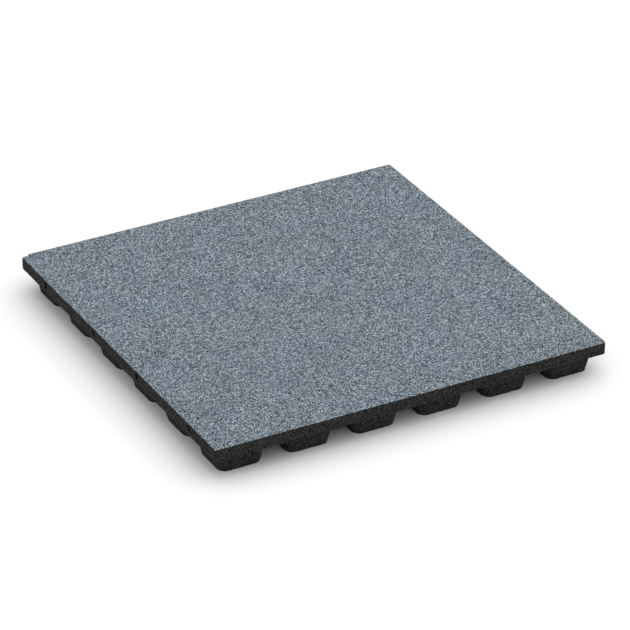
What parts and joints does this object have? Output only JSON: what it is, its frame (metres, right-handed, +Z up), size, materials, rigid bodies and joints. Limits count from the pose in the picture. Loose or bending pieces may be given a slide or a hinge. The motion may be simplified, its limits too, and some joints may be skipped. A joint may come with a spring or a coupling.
{
  "type": "rubber safety tile",
  "caption": "Square fall-protection tile of bonded rubber granulate: a coloured top face on a slab with drainage feet beneath and dowel holes in two sides.",
  "frame": {"origin": "middle of the tile, on the ground that the feet stand on", "axes": "+Z up out of the top face, +X towards a side with dowel holes, +Y towards a plain side"},
  "size_m": [0.5, 0.5, 0.04],
  "materials": {
    "granulate": "matte bonded granulate, charcoal on the sides and feet, slate blue-grey on the top face"
  },
  "bodies": {
    "root": {"safety_tile": "granulate"}
  },
  "joints": []
}
